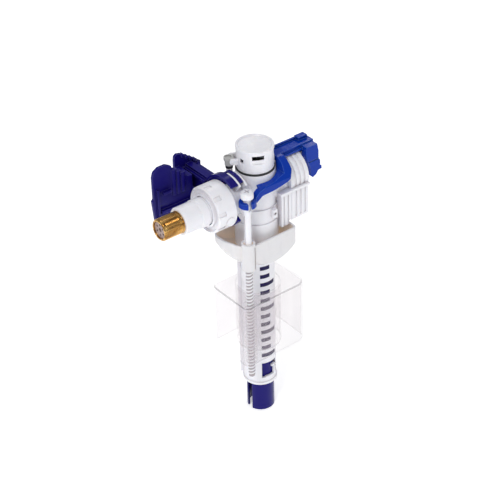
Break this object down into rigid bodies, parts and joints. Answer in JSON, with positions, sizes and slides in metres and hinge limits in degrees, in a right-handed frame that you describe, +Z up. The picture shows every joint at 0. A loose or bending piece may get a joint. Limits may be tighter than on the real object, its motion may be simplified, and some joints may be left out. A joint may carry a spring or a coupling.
{
  "type": "toilet fill valve",
  "caption": "Side-inlet toilet fill valve: brass nipple, union nut, lever-worked diaphragm head, screw-adjusted clear cup float and telescoped outlet stem.",
  "frame": {"origin": "middle of the outlet end, at the foot of the stem", "axes": "+Z up the stem, -X out along the inlet nipple, -Y towards the adjusting spindle's side"},
  "size_m": [0.1414, 0.0713, 0.2404],
  "materials": {
    "white_plastic": "moulded, light gloss",
    "bowl_plastic": "moulded, light gloss",
    "navy_plastic": "moulded, gloss",
    "blue_plastic": "moulded, gloss",
    "grey_plastic": "moulded, satin",
    "clear_plastic": "clear moulded plastic",
    "black_rubber": "moulded",
    "brass_nipple": "turned"
  },
  "bodies": {
    "housing": {"inlet_nipple": "brass_nipple", "flow_throttle": "grey_plastic", "inlet_tail": "white_plastic", "tail_washer": "black_rubber", "inlet_strainer": "white_plastic", "valve_body": "white_plastic", "stem_tube": "white_plastic", "outlet_tube": "navy_plastic", "splash_bowl": "bowl_plastic", "retaining_bracket": "navy_plastic", "head_cover": "white_plastic", "diaphragm": "black_rubber", "lever_pivot_pin": "white_plastic", "vent_ring": "black_rubber", "vent_membrane": "black_rubber", "vent_cap": "white_plastic", "flap_pin": "white_plastic"},
    "lever": {"lever_arm": "blue_plastic", "pilot_pad": "black_rubber"},
    "lift": {"spindle_clip": "white_plastic"},
    "spindle": {"adjusting_spindle": "white_plastic"},
    "float": {"float_shell": "clear_plastic"},
    "disc": {"valve_disc": "black_rubber"},
    "flap": {"vent_flap": "grey_plastic", "flap_pad": "black_rubber"},
    "nut": {"union_nut": "white_plastic"}
  },
  "joints": [
    {"name": "lever_swing", "type": "hinge", "parent": "housing", "child": "lever", "pos_m": [0.046, 0, 0.217], "axis": [0, 1, 0], "range_deg": [0, 7]},
    {"name": "spindle_lift", "type": "slide", "parent": "housing", "child": "lift", "axis": [0, 0, 1], "range_m": [0, 0.00836]},
    {"name": "spindle_turn", "type": "hinge", "parent": "lift", "child": "spindle", "pos_m": [-0.0225, -0.0185, 0.2], "axis": [0, 0, 1], "range_deg": [-1800, 1800]},
    {"name": "float_adjust", "type": "slide", "parent": "lift", "child": "float", "axis": [0, 0, 1], "range_m": [-0.015, 0.015]},
    {"name": "disc_travel", "type": "slide", "parent": "housing", "child": "disc", "axis": [-1, 0, 0], "range_m": [0, 0.0018]},
    {"name": "flap_lift", "type": "hinge", "parent": "housing", "child": "flap", "pos_m": [-0.01464, 0.00845, 0.2293], "axis": [0.5, 0.866, 0], "range_deg": [0, 35]},
    {"name": "nut_turn", "type": "hinge", "parent": "housing", "child": "nut", "pos_m": [-0.04, 0, 0.2027], "axis": [-1, 0, 0], "range_deg": [-900, 0]}
  ],
  "couplings": [
    {"joint": "lever_swing", "follows": "spindle_lift", "rad_per_m": 14.598},
    {"joint": "disc_travel", "follows": "spindle_lift", "ratio": 0.215},
    {"joint": "spindle_turn", "follows": "float_adjust", "rad_per_m": 2094.4}
  ]
}
